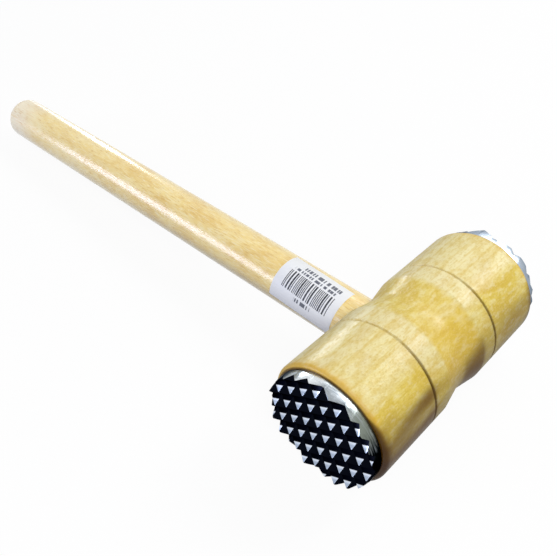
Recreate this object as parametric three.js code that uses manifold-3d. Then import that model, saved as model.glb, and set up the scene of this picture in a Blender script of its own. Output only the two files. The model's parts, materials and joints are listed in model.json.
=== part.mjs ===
// A kitchen meat mallet: a turned hardwood head on a straight round handle, with a cast aluminium tooth plate
// held to each end of the head by a barbed steel stud, and a paper label round the handle.
// Lengths are in millimetres and +Z is up. The mallet lies as it does on a worktop, on the head's side and the
// handle's butt. The head's axis runs along Y, with the fine teeth facing -Y, and the handle runs out to -X.
// The origin is on the worktop, under the middle of the mallet's box.
import * as THREE from "three";
import { mergeVertices } from "three/addons/utils/BufferGeometryUtils.js";
import Module from "manifold-3d";

// Head: a cylinder with a waist for the handle, and a scribed groove on each side of the waist
const headDiameter = 54;
const headLength = 107;
const headEdgeRadius = 2;
const waistHalfWidth = 12.7;
const waistDepth = 2.15;
const waistValleyRadius = 16;
const grooveFromMiddle = 22;
const grooveWidth = 1.4;
const grooveDepth = 1.2;

// Handle: a round bar glued into a blind socket in the waist, nearer to the fine face than the head's middle
const handleDiameter = 23.6;
const handleReach = 293;
const handleOffset = 3.5;
const buttEdgeRadius = 4.5;
const tenonPastAxis = 14;
const tenonChamfer = 1.5;
const socketRadialGap = 0.3;
const socketEndGap = 0.5;

// Tooth plates: both are a disc with drafted sides, and a boss on its back let into the head's end grain
const plateBackDiameter = 50;
const plateFrontDiameter = 49;
const plateThickness = 3.4;
const bossDiameter = 15;
const bossHeight = 5;
const bossGap = 0.3;

// Teeth: square pyramids left between two sets of V-shaped grooves. The grid is shifted and then turned on its disc.
const fineTeeth = { pitch: 7, height: 2.9, tipWidth: 0.4, shiftAcross: -0.6, shiftUp: -0.35, turnDegrees: 33.5 };
const coarseTeeth = { pitch: 10, height: 3.3, tipWidth: 0.5, shiftAcross: 1.9, shiftUp: 3.3, turnDegrees: -54.9 };

// Studs: a steel pin cast into each boss, with saw-tooth barbs on the part driven into the head
const studDiameter = 5;
const studInBoss = 6.5;
const studInHead = 21;
const studPointLength = 4;
const studPointDiameter = 1.6;
const studGap = 0.3;
const barbPitch = 2.5;
const barbDepth = 0.5;
const barbSlopeShare = 0.8;

// Label: a paper sticker wrapped round the handle near the head, put on slightly askew
const labelLength = 35;
const labelHeight = 25;
const labelThickness = 0.2;
const labelGap = 0.1;
const labelFromHeadAxis = 47.9;
const labelFromTopDegrees = 41;
const labelSkewDegrees = 4;

// Facet counts, and one overrun by which every cutter passes the surface that it cuts
const headFacets = 72;
const handleFacets = 48;
const plateFacets = 96;
const studFacets = 24;
const edgeSteps = 4;
const valleySteps = 3;
const labelStepsAlong = 6;
const labelStepsRound = 20;
const cutOverrun = 1;

// Radii, and the slope at which the handle lies when the head's side and the butt both touch the worktop
const headRadius = headDiameter / 2;
const headHalf = headLength / 2;
const handleRadius = handleDiameter / 2;
const studRadius = studDiameter / 2;
const headRestRadius = headRadius * Math.cos(Math.PI / headFacets);
const handleRestRadius = handleRadius * Math.cos(Math.PI / handleFacets);
const restSlope = slopeAtRest();

const wood = new THREE.MeshStandardMaterial({ color: 0xdcb968, roughness: 0.4, metalness: 0 });
const handleWood = new THREE.MeshStandardMaterial({ color: 0xe2c076, roughness: 0.35, metalness: 0 });
const castAluminium = new THREE.MeshStandardMaterial({ color: 0xb9bec3, roughness: 0.35, metalness: 1 });
const steel = new THREE.MeshStandardMaterial({ color: 0x7f8388, roughness: 0.5, metalness: 1 });
const paper = new THREE.MeshStandardMaterial({ color: 0xeceff5, roughness: 0.6, metalness: 0 });

const wasm = await Module();
wasm.setup();

// The handle's angle below level: its butt's rounded edge comes down to the level of the head's side.
function slopeAtRest() {
  const along = handleReach - buttEdgeRadius;
  const below = handleRestRadius - buttEdgeRadius;
  const drop = headRestRadius - buttEdgeRadius;
  return Math.asin(drop / Math.hypot(along, below)) - Math.atan2(below, along);
}

// A closed geometry as a solid that can be cut.
function solidFrom(geometry) {
  const bare = geometry.clone();
  bare.deleteAttribute("normal");
  bare.deleteAttribute("uv");
  const merged = mergeVertices(bare);
  return new wasm.Manifold(
    new wasm.Mesh({
      numProp: 3,
      vertProperties: new Float32Array(merged.attributes.position.array),
      triVerts: new Uint32Array(merged.index.array),
    }),
  );
}

// A cut solid as a geometry with flat faces.
function geometryFrom(solid) {
  const mesh = solid.getMesh();
  const geometry = new THREE.BufferGeometry();
  geometry.setAttribute("position", new THREE.BufferAttribute(mesh.vertProperties, mesh.numProp));
  geometry.setIndex(new THREE.BufferAttribute(mesh.triVerts, 1));
  const faceted = geometry.toNonIndexed();
  faceted.computeVertexNormals();
  return faceted;
}

// A point of a turned profile: its radius, and its height along the axis.
function at(radius, height) {
  return new THREE.Vector2(radius, height);
}

// The points of an arc in a turned profile.
function arc(centre, radius, fromAngle, toAngle, steps) {
  return Array.from({ length: steps + 1 }, (_, i) => {
    const angle = fromAngle + ((toAngle - fromAngle) * i) / steps;
    return at(centre.x + radius * Math.cos(angle), centre.y + radius * Math.sin(angle));
  });
}

// A body turned about Y from a profile that climbs from axis to axis. The middle of one facet faces the angle
// given, which is measured about Y from +Z towards +X.
function turned(profile, facets, facing) {
  return new THREE.LatheGeometry(profile, facets, facing - Math.PI / facets, 2 * Math.PI);
}

// One half of the head's outline, from the waist's valley to the centre of an end. The valley is an arc, a straight
// taper leaves it at a tangent, and the taper ends in a crisp shoulder.
function headSide() {
  const towardsShoulder = Math.atan2(waistHalfWidth, waistValleyRadius - waistDepth);
  const toShoulder = Math.hypot(waistHalfWidth, waistValleyRadius - waistDepth);
  const taperAngle = towardsShoulder - Math.acos(waistValleyRadius / toShoulder);
  const valleyCentre = at(headRadius - waistDepth + waistValleyRadius, 0);
  const edgeCentre = at(headRadius - headEdgeRadius, headHalf - headEdgeRadius);
  return [
    ...arc(valleyCentre, waistValleyRadius, Math.PI, Math.PI - taperAngle, valleySteps),
    at(headRadius, waistHalfWidth),
    at(headRadius, grooveFromMiddle - grooveWidth / 2),
    at(headRadius - grooveDepth, grooveFromMiddle),
    at(headRadius, grooveFromMiddle + grooveWidth / 2),
    ...arc(edgeCentre, headEdgeRadius, 0, Math.PI / 2, edgeSteps),
    at(0, headHalf),
  ];
}

// The blind socket for the handle, as a cutter along X that comes in through the waist at -X.
function handleSocket() {
  const radius = handleRadius + socketRadialGap;
  const bottom = -tenonPastAxis - socketEndGap;
  const mouth = headRadius + cutOverrun;
  const cutter = turned([at(0, bottom), at(radius, bottom), at(radius, mouth), at(0, mouth)], handleFacets, 0);
  cutter.rotateZ(Math.PI / 2);
  cutter.translate(0, -handleOffset, 0);
  return solidFrom(cutter);
}

// The counterbore and pilot hole for a boss and its stud, as a cutter in the head's +Y end.
function studBore() {
  const floor = headHalf - bossHeight - bossGap;
  const bottom = headHalf - bossHeight - studInHead - studGap;
  const mouth = headHalf + cutOverrun;
  return solidFrom(turned([
    at(0, bottom),
    at(studPointDiameter / 2 + studGap, bottom),
    at(studRadius + studGap, bottom + studPointLength),
    at(studRadius + studGap, floor),
    at(bossDiameter / 2 + bossGap, floor),
    at(bossDiameter / 2 + bossGap, mouth),
    at(0, mouth),
  ], studFacets, 0));
}

// The head along Y. One facet faces the worktop once the mallet is laid down.
function headGeometry() {
  const upper = headSide();
  const lower = upper.slice(1).reverse().map((point) => at(point.x, -point.y));
  const blank = solidFrom(turned([...lower, ...upper], headFacets, Math.PI + restSlope));
  const bore = studBore();
  return geometryFrom(blank.subtract(handleSocket()).subtract(bore).subtract(bore.rotate([180, 0, 0])));
}

// The handle along Y: the butt's flat is at zero, and the chamfered end in the socket is the far one.
function handleGeometry() {
  const end = handleReach + tenonPastAxis;
  const edgeCentre = at(handleRadius - buttEdgeRadius, buttEdgeRadius);
  return turned([
    at(0, 0),
    ...arc(edgeCentre, buttEdgeRadius, -Math.PI / 2, 0, 2 * edgeSteps),
    at(handleRadius, end - tenonChamfer),
    at(handleRadius - tenonChamfer, end),
    at(0, end),
  ], handleFacets, Math.PI);
}

// The V-shaped groove between two rows of teeth, as a cutter along Z whose root is on the plate's front.
function toothGroove(teeth) {
  const rise = teeth.height + cutOverrun;
  const halfTop = (((teeth.pitch - teeth.tipWidth) / 2) * rise) / teeth.height;
  const outline = new THREE.Shape([at(0, 0), at(halfTop, rise), at(-halfTop, rise)]);
  const run = 2 * plateBackDiameter;
  const groove = new THREE.ExtrudeGeometry(outline, { depth: run, bevelEnabled: false });
  groove.translate(0, plateThickness, -run / 2);
  return solidFrom(groove);
}

// A tooth plate along Y: the back of its disc is at zero, the boss points down Y and the teeth point up Y.
// The drafted side runs on up past the roots of the teeth, so the outer teeth are cut off by the disc's edge.
function plateGeometry(teeth) {
  const draft = (plateBackDiameter - plateFrontDiameter) / 2 / plateThickness;
  const top = plateThickness + teeth.height;
  const blank = solidFrom(turned([
    at(0, -bossHeight),
    at(bossDiameter / 2, -bossHeight),
    at(bossDiameter / 2, 0),
    at(plateBackDiameter / 2, 0),
    at(plateBackDiameter / 2 - draft * top, top),
    at(0, top),
  ], plateFacets, 0));
  const hole = studRadius + studGap;
  const holeEnd = studInBoss + studGap - bossHeight;
  const holeMouth = -bossHeight - cutOverrun;
  const studHole = turned([at(0, holeMouth), at(hole, holeMouth), at(hole, holeEnd), at(0, holeEnd)], studFacets, 0);
  const groove = toothGroove(teeth);
  const rows = Math.ceil((plateBackDiameter / 2 + Math.hypot(teeth.shiftAcross, teeth.shiftUp)) / teeth.pitch);
  let grooves = groove;
  for (let row = -rows; row <= rows; row += 1) {
    const across = groove.translate([row * teeth.pitch + teeth.shiftAcross, 0, 0]);
    const along = groove.rotate([0, 90, 0]).translate([0, 0, row * teeth.pitch + teeth.shiftUp]);
    grooves = row === -rows ? across.add(along) : grooves.add(across).add(along);
  }
  return geometryFrom(blank.subtract(solidFrom(studHole)).subtract(grooves.rotate([0, teeth.turnDegrees, 0])));
}

// A stud along Y: the plain end, in the boss, is above zero, and the barbed end points down Y into the head.
function studGeometry() {
  const barbs = Math.floor((studInHead - studPointLength) / barbPitch);
  const profile = [at(0, -studInHead), at(studPointDiameter / 2, -studInHead)];
  for (let barb = 0; barb < barbs; barb += 1) {
    const root = studPointLength - studInHead + barb * barbPitch;
    profile.push(at(studRadius - barbDepth, root), at(studRadius, root + barbPitch * barbSlopeShare));
  }
  profile.push(at(studRadius, studInBoss), at(0, studInBoss));
  return turned(profile, studFacets, 0);
}

// The label, bent round the handle: a flat sheet whose thickness becomes radius and whose height runs round.
function labelGeometry() {
  const sheet = new THREE.BoxGeometry(
    labelLength, labelThickness, labelHeight, labelStepsAlong, 1, labelStepsRound,
  );
  const places = sheet.attributes.position;
  const skew = THREE.MathUtils.degToRad(labelSkewDegrees);
  const innerRadius = handleRadius + labelGap;
  for (let i = 0; i < places.count; i += 1) {
    const along = places.getX(i) * Math.cos(skew) - places.getZ(i) * Math.sin(skew);
    const round = places.getX(i) * Math.sin(skew) + places.getZ(i) * Math.cos(skew);
    const angle = THREE.MathUtils.degToRad(labelFromTopDegrees) + round / innerRadius;
    const radius = innerRadius + labelThickness / 2 + places.getY(i);
    places.setXYZ(i, radius * Math.sin(angle), along, radius * Math.cos(angle));
  }
  sheet.computeVertexNormals();
  return sheet;
}

// A named piece of the mallet.
function piece(name, geometry, material) {
  const mesh = new THREE.Mesh(geometry, material);
  mesh.name = name;
  return mesh;
}

// A tooth plate with its stud, in a group whose origin is the centre of the head's end.
function faceAssembly(plateName, studName, teeth) {
  const stud = piece(studName, studGeometry(), steel);
  stud.position.y = -bossHeight;
  return new THREE.Group().add(piece(plateName, plateGeometry(teeth), castAluminium), stud);
}

const handle = new THREE.Group().add(piece("handle", handleGeometry(), handleWood));
const label = piece("handle_label", labelGeometry(), paper);
label.position.y = handleReach - labelFromHeadAxis;
handle.add(label);
handle.rotation.z = -Math.PI / 2;
handle.position.set(-handleReach, -handleOffset, 0);

const fineFace = faceAssembly("fine_tooth_plate", "fine_plate_stud", fineTeeth);
fineFace.rotation.x = Math.PI;
fineFace.position.y = -headHalf;

const coarseFace = faceAssembly("coarse_tooth_plate", "coarse_plate_stud", coarseTeeth);
coarseFace.position.y = headHalf;

const mallet = new THREE.Group().add(piece("head", headGeometry(), wood), handle, fineFace, coarseFace);
mallet.rotation.y = -restSlope;

// Puts the mallet's lowest point on the worktop, and the middle of its box over the origin.
const box = new THREE.Box3().setFromObject(mallet, true);
const middle = box.getCenter(new THREE.Vector3());
mallet.position.set(-middle.x, -middle.y, -box.min.z);

const group = new THREE.Group().add(mallet);

export default group;
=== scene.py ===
"""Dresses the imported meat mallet: varnished beech head and handle, cast tooth plates and a paper label.

Each piece is built in its own frame, which is the one that its sub-assembly has on the bench, and is then
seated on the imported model. Sizes are in millimetres unless a name says otherwise, and meshes are in metres.
"""

import json
import logging
import math
from collections.abc import Callable, Sequence
from dataclasses import dataclass
from enum import Enum

import bmesh
import bpy
from mathutils import Matrix, Vector, noise


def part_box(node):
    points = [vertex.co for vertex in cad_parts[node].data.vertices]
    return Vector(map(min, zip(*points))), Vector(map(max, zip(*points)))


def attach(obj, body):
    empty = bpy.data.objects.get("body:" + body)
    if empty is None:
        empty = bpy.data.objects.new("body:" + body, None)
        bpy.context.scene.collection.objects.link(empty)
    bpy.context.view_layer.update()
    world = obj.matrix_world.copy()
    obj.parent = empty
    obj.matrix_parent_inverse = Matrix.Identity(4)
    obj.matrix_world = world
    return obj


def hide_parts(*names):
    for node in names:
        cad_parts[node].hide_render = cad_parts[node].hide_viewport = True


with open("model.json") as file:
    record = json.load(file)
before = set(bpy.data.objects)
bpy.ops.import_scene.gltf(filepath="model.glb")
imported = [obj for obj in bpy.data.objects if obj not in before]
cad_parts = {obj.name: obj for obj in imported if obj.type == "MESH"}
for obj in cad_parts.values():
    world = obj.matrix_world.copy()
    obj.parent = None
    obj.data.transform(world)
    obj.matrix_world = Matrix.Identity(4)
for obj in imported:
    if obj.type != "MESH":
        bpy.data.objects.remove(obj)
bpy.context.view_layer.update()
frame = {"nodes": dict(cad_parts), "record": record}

MM = 0.001
# Nearly all of a noise node's values lie between these two.
NOISE_SPAN = (0.3, 0.7)
log = logging.getLogger("mallet")


def linear(code: str) -> tuple[float, float, float, float]:
    """Turns an sRGB hex colour into the linear colour that a shader takes.

    Args:
        code: Six hex digits.

    Returns:
        Red, green, blue and a full alpha.
    """
    shares = [int(code[i:i + 2], 16) / 255 for i in (0, 2, 4)]
    red, green, blue = [s / 12.92 if s <= 0.04045 else ((s + 0.055) / 1.055) ** 2.4 for s in shares]
    return red, green, blue, 1.0


def add_node(tree: bpy.types.NodeTree, kind: str, inputs: dict | None = None,
             **settings: object) -> bpy.types.Node:
    """Adds a node with its settings and links.

    Args:
        tree: The node tree.
        kind: The node's type name.
        inputs: Input names or numbers, each with a value or with the output socket that feeds it.
        **settings: The node's attributes.

    Returns:
        The new node.
    """
    node = tree.nodes.new(kind)
    for name, value in settings.items():
        setattr(node, name, value)
    for name, value in (inputs or {}).items():
        if isinstance(value, bpy.types.NodeSocket):
            tree.links.new(value, node.inputs[name])
        else:
            node.inputs[name].default_value = value
    return node


def new_material(name: str) -> tuple[bpy.types.Material, bpy.types.NodeTree]:
    """Makes a material with an empty node tree.

    Args:
        name: The material's name.

    Returns:
        The material and its node tree.
    """
    material = bpy.data.materials.new(name)
    material.use_nodes = True
    material.node_tree.nodes.clear()
    return material, material.node_tree


class Given(Enum):
    """What a surface gives its shader in the piece's own frame."""

    POINT = "Object"
    DIRECTION = "Normal"


def own_frame(tree: bpy.types.NodeTree, given: Given, seat: Matrix) -> bpy.types.NodeSocket:
    """Adds a point or a direction in a piece's own frame.

    The mesh is turned and not its object, so what the object gives is turned back.

    Args:
        tree: The material's node tree.
        given: Which of the two.
        seat: Where the piece's own frame lies in the model.

    Returns:
        The vector in the piece's own frame.
    """
    return add_node(tree, "ShaderNodeMapping", {
        "Vector": add_node(tree, "ShaderNodeTexCoord").outputs[given.value],
        "Rotation": seat.to_3x3().inverted().to_euler(),
    }).outputs["Vector"]


def mesh_object(name: str, points: Sequence[Vector], faces: Sequence[Sequence[int]],
                seat: Matrix) -> bpy.types.Object:
    """Makes an object in the scene from points in millimetres.

    Args:
        name: The object's name.
        points: The vertices, in the piece's own frame.
        faces: The faces, as vertex numbers.
        seat: Where the piece's own frame lies in the model.

    Returns:
        The object, with its faces turned outwards.
    """
    mesh = bpy.data.meshes.new(name)
    mesh.from_pydata([tuple(p * MM for p in point) for point in points], [], faces)
    bench = bmesh.new()
    bench.from_mesh(mesh)
    bmesh.ops.recalc_face_normals(bench, faces=bench.faces)
    bench.to_mesh(mesh)
    bench.free()
    piece = bpy.data.objects.new(name, mesh)
    bpy.context.scene.collection.objects.link(piece)
    piece.matrix_world = seat
    return piece


def cut(piece: bpy.types.Object, cutter: bpy.types.Object) -> None:
    """Cuts one closed mesh from another, and throws the cutter away.

    Args:
        piece: The object that stays.
        cutter: The object that is taken from it.
    """
    step = piece.modifiers.new("cut", "BOOLEAN")
    step.object = cutter
    step.operation = "DIFFERENCE"
    step.solver = "EXACT"
    bpy.context.view_layer.update()
    evaluated = piece.evaluated_get(bpy.context.evaluated_depsgraph_get())
    mesh = bpy.data.meshes.new_from_object(evaluated)
    piece.modifiers.clear()
    piece.data = mesh
    bpy.data.objects.remove(cutter)


def weld(piece: bpy.types.Object, within: float) -> None:
    """Merges the points that cuts left all but on each other.

    Args:
        piece: The object.
        within: The distance in millimetres under which points are merged.
    """
    bench = bmesh.new()
    bench.from_mesh(piece.data)
    bmesh.ops.remove_doubles(bench, verts=bench.verts, dist=within * MM)
    bench.to_mesh(piece.data)
    bench.free()


def turn_outwards(bench: bmesh.types.BMesh) -> None:
    """Turns the faces of a closed mesh outwards. Its volume is negative while it is inside out.

    Args:
        bench: The mesh.
    """
    bmesh.ops.recalc_face_normals(bench, faces=bench.faces)
    if bench.calc_volume(signed=True) < 0:
        bmesh.ops.reverse_faces(bench, faces=bench.faces)


def smooth(piece: bpy.types.Object, crease_degrees: float) -> None:
    """Shades a mesh smooth, apart from edges sharper than an angle.

    Args:
        piece: The object.
        crease_degrees: The sharpest angle that is still shaded smooth.
    """
    piece.data.shade_smooth()
    piece.data.set_sharp_from_angle(angle=math.radians(crease_degrees))


def eased(corners: Sequence[tuple[float, float, float]], steps: int) -> list[Vector]:
    """Rounds the corners of an outline with arcs.

    Args:
        corners: Points as (x, y, radius), where a radius of zero keeps the corner sharp.
        steps: Steps in each arc.

    Returns:
        The outline's points.
    """
    points = []
    for i, (x, y, radius) in enumerate(corners):
        corner = Vector((x, y))
        if radius == 0:
            points.append(corner)
            continue
        back = (Vector(corners[i - 1][:2]) - corner).normalized()
        ahead = (Vector(corners[i + 1][:2]) - corner).normalized()
        half = back.angle(ahead) / 2
        centre = corner + (back + ahead).normalized() * radius / math.sin(half)
        first = corner + back * radius / math.tan(half) - centre
        last = corner + ahead * radius / math.tan(half) - centre
        turn = first.angle_signed(last)
        points += [centre + Matrix.Rotation(-turn * k / steps, 2) @ first for k in range(steps + 1)]
    return points


def split(outline: Sequence[Vector], longest: float) -> list[Vector]:
    """Adds points to an outline, so that what is painted on the rings stays local.

    Args:
        outline: The outline's points.
        longest: The longest step that is left along Y.

    Returns:
        The outline's points, with the added ones between them.
    """
    points = [outline[0]]
    for point in outline[1:]:
        before = points[-1]
        parts = max(1, math.ceil(abs(point.y - before.y) / longest))
        points += [before.lerp(point, k / parts) for k in range(1, parts + 1)]
    return points


def revolve(name: str, outline: Sequence[Vector], segments: int, seat: Matrix) -> bpy.types.Object:
    """Turns an outline about the Y axis.

    Args:
        name: The object's name.
        outline: Points as (radius, place on the axis), with both ends on the axis.
        segments: Steps round the axis.
        seat: Where the piece's own frame lies in the model.

    Returns:
        The turned body, closed by a fan at each end.
    """
    points = [Vector((0, outline[0].y, 0))]
    rings = outline[1:-1]
    for ring in rings:
        for k in range(segments):
            angle = 2 * math.pi * k / segments
            points.append(Vector((ring.x * math.sin(angle), ring.y, ring.x * math.cos(angle))))
    points.append(Vector((0, outline[-1].y, 0)))
    last = len(points) - 1
    faces = []
    for k in range(segments):
        after = (k + 1) % segments
        faces.append((0, 1 + k, 1 + after))
        for row in range(len(rings) - 1):
            base = 1 + row * segments
            faces.append((base + k, base + segments + k, base + segments + after, base + after))
        faces.append((last, last - segments + after, last - segments + k))
    return mesh_object(name, points, faces, seat)


class VertexTint(Enum):
    """A tint painted on the vertices as a share from 0 to 1: painted light, painted shade, soak and burn."""

    PAINTED_LIGHT = "painted_light"
    SOAK_AND_SHADE = "soak_and_shade"
    PAINTED_SHADE = "painted_shade"
    BURN_AND_SHADE = "burn_and_shade"


def paint(piece: bpy.types.Object, vertex_tint: VertexTint, share: Callable[[Vector], float]) -> None:
    """Stores a tint's share on each vertex, for the wood's finish to read.

    Args:
        piece: The object.
        vertex_tint: The tint.
        share: Gives the share for a point in millimetres, in the piece's own frame.
    """
    attribute = piece.data.attributes.new(vertex_tint.value, "FLOAT", "POINT")
    for i, vertex in enumerate(piece.data.vertices):
        attribute.data[i].value = share(vertex.co / MM)


def ease_step(low: float, high: float, value: float) -> float:
    """Rises or falls smoothly from 0 to 1.

    Args:
        low: The value that gives 0.
        high: The value that gives 1, which may be the lesser one.
        value: The value.

    Returns:
        The share.
    """
    share = min(max((value - low) / (high - low), 0.0), 1.0)
    return share * share * (3 - 2 * share)


@dataclass(frozen=True)
class Tinge:
    """A tint that lies on the wood where a pattern passes from one value to another."""

    pattern: bpy.types.NodeSocket
    starts: float
    full: float
    tint: str
    strength: float


@dataclass(frozen=True)
class VarnishedHardwood:
    """Pale hardwood, turned, sanded and dipped in clear varnish. Its grain runs along Y in the piece's frame.

    The eye sees soft mottling, long faint streaks, short flecks along the grain, and a broad grainy sheen.
    Real flecks are a few tenths of a millimetre wide, and are drawn coarser here so that they show.
    """

    name: str
    body: str
    pale: str
    deep: str
    fleck: str
    # Tints for painted light, for soak with painted shade, for painted shade, and for burn with painted
    # shade.
    painted_light_tint: str = "F0EAC8"
    soak_and_shade_tint: str = "DEB03A"
    painted_shade: str = "6C480A"
    burn_and_shade_tint: str = "462604"
    mottle_mm: tuple[float, float] = (9.0, 22.0)
    streak_mm: tuple[float, float] = (1.7, 40.0)
    dab_mm: tuple[float, float] = (2.0, 4.6)
    fleck_mm: tuple[float, float] = (0.7, 1.3)
    grain_roughness: float = 0.55
    mottled: float = 0.6
    streaked: float = 0.6
    dabbed: float = 0.4
    flecked: float = 0.26
    pale_flecked: float = 0.8
    roughness: tuple[float, float] = (0.17, 0.28)
    # The varnish is the coat, and the wood below it has no gloss of its own unless a piece is given some.
    specular_level: float = 0.0
    coat_weight: float = 0.35
    coat_roughness: float = 0.2
    relief_mm: float = 0.1
    peel_mm: float = 1.6
    peel_relief_mm: float = 0.05

    def grain(self, tree: bpy.types.NodeTree, place: bpy.types.NodeSocket, size: tuple[float, float],
              detail: float) -> bpy.types.NodeSocket:
        """Adds noise whose lumps have a real size across and along the grain.

        Args:
            tree: The material's node tree.
            place: The point in the piece's own frame.
            size: Millimetres across and along the grain.
            detail: Octaves of finer noise.

        Returns:
            The noise, about 0.5 on average.
        """
        across, along = (1 / (side * MM) for side in size)
        stretched = add_node(tree, "ShaderNodeMapping", {"Vector": place, "Scale": (across, along, across)})
        return add_node(tree, "ShaderNodeTexNoise", {
            "Vector": stretched.outputs["Vector"], "Scale": 1.0, "Detail": detail,
            "Roughness": self.grain_roughness,
        }).outputs["Fac"]

    def lay(self, tree: bpy.types.NodeTree, under: bpy.types.NodeSocket | tuple[float, ...],
            tinge: Tinge) -> bpy.types.NodeSocket:
        """Lays a tinge over a colour.

        Args:
            tree: The material's node tree.
            under: The colour below.
            tinge: The tinge.

        Returns:
            The tinged colour.
        """
        share = add_node(tree, "ShaderNodeMapRange", {
            "Value": tinge.pattern, "From Min": tinge.starts, "From Max": tinge.full,
            "To Max": tinge.strength,
        })
        return add_node(tree, "ShaderNodeMixRGB", {
            "Fac": share.outputs["Result"], "Color1": under, "Color2": linear(tinge.tint),
        }).outputs["Color"]

    def dye(self, tree: bpy.types.NodeTree, under: bpy.types.NodeSocket, vertex_tint: VertexTint,
            tint: str) -> bpy.types.NodeSocket:
        """Lays a painted tint over a colour by the share that is painted on the mesh.

        Args:
            tree: The material's node tree.
            under: The colour below.
            vertex_tint: The tint.
            tint: Its tint.

        Returns:
            The stained colour.
        """
        mask = add_node(tree, "ShaderNodeAttribute", attribute_name=vertex_tint.value)
        return add_node(tree, "ShaderNodeMixRGB", {
            "Fac": mask.outputs["Fac"], "Color1": under, "Color2": linear(tint),
        }).outputs["Color"]

    def build(self, seat: Matrix) -> bpy.types.Material:
        """Makes the material.

        Args:
            seat: Where the piece's own frame lies in the model.

        Returns:
            The material.
        """
        material, tree = new_material(self.name)
        place = own_frame(tree, Given.POINT, seat)
        clouds, mottles, streaks, dabs, flecks = (self.grain(tree, place, size, detail) for size, detail in (
            (self.mottle_mm, 3.0), (self.mottle_mm, 4.0), (self.streak_mm, 3.0), (self.dab_mm, 3.0),
            (self.fleck_mm, 2.0),
        ))
        colour = self.lay(tree, linear(self.deep), Tinge(clouds, 0.3, 0.55, self.body, 1.0))
        # Painted light, paler where the piece paints it.
        colour = self.dye(tree, colour, VertexTint.PAINTED_LIGHT, self.painted_light_tint)
        for tinge in (
            Tinge(mottles, 0.52, 0.72, self.pale, self.mottled),
            Tinge(streaks, 0.5, 0.72, self.deep, self.streaked),
            Tinge(dabs, 0.5, 0.64, self.deep, self.dabbed),
            Tinge(dabs, 0.48, 0.36, self.pale, self.dabbed),
            Tinge(flecks, 0.54, 0.66, self.fleck, self.flecked),
            Tinge(flecks, 0.46, 0.34, self.pale, self.pale_flecked * self.flecked),
        ):
            colour = self.lay(tree, colour, tinge)
        # Soak with painted shade in the waist, then painted shade, then burn with painted shade on the low
        # side.
        for vertex_tint, tint in (
            (VertexTint.SOAK_AND_SHADE, self.soak_and_shade_tint), (VertexTint.PAINTED_SHADE, self.painted_shade), (VertexTint.BURN_AND_SHADE, self.burn_and_shade_tint),
        ):
            colour = self.dye(tree, colour, vertex_tint, tint)
        rough = add_node(tree, "ShaderNodeMapRange", {
            "Value": flecks, "From Min": NOISE_SPAN[0], "From Max": NOISE_SPAN[1],
            "To Min": self.roughness[0], "To Max": self.roughness[1],
        })
        relief = add_node(tree, "ShaderNodeBump", {
            "Height": flecks, "Strength": 1.0, "Distance": self.relief_mm * MM,
        })
        peel = add_node(tree, "ShaderNodeBump", {
            "Height": self.grain(tree, place, (self.peel_mm, self.peel_mm), 1.0), "Strength": 1.0,
            "Distance": self.peel_relief_mm * MM, "Normal": relief.outputs["Normal"],
        })
        shader = add_node(tree, "ShaderNodeBsdfPrincipled", {
            "Base Color": colour, "Roughness": rough.outputs["Result"], "Normal": peel.outputs["Normal"],
            "Specular IOR Level": self.specular_level, "Coat Weight": self.coat_weight,
            "Coat Roughness": self.coat_roughness, "Coat Normal": peel.outputs["Normal"],
        })
        add_node(tree, "ShaderNodeOutputMaterial", {"Surface": shader.outputs["BSDF"]})
        return material


@dataclass(frozen=True)
class RimReflection:
    """A stretch of a plate's rim painted with a bright or a dark reflection, placed by its angle in the
    plate's own frame.
    """

    middle_degrees: float
    half_width_degrees: float
    soft_degrees: float
    colour: str


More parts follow.
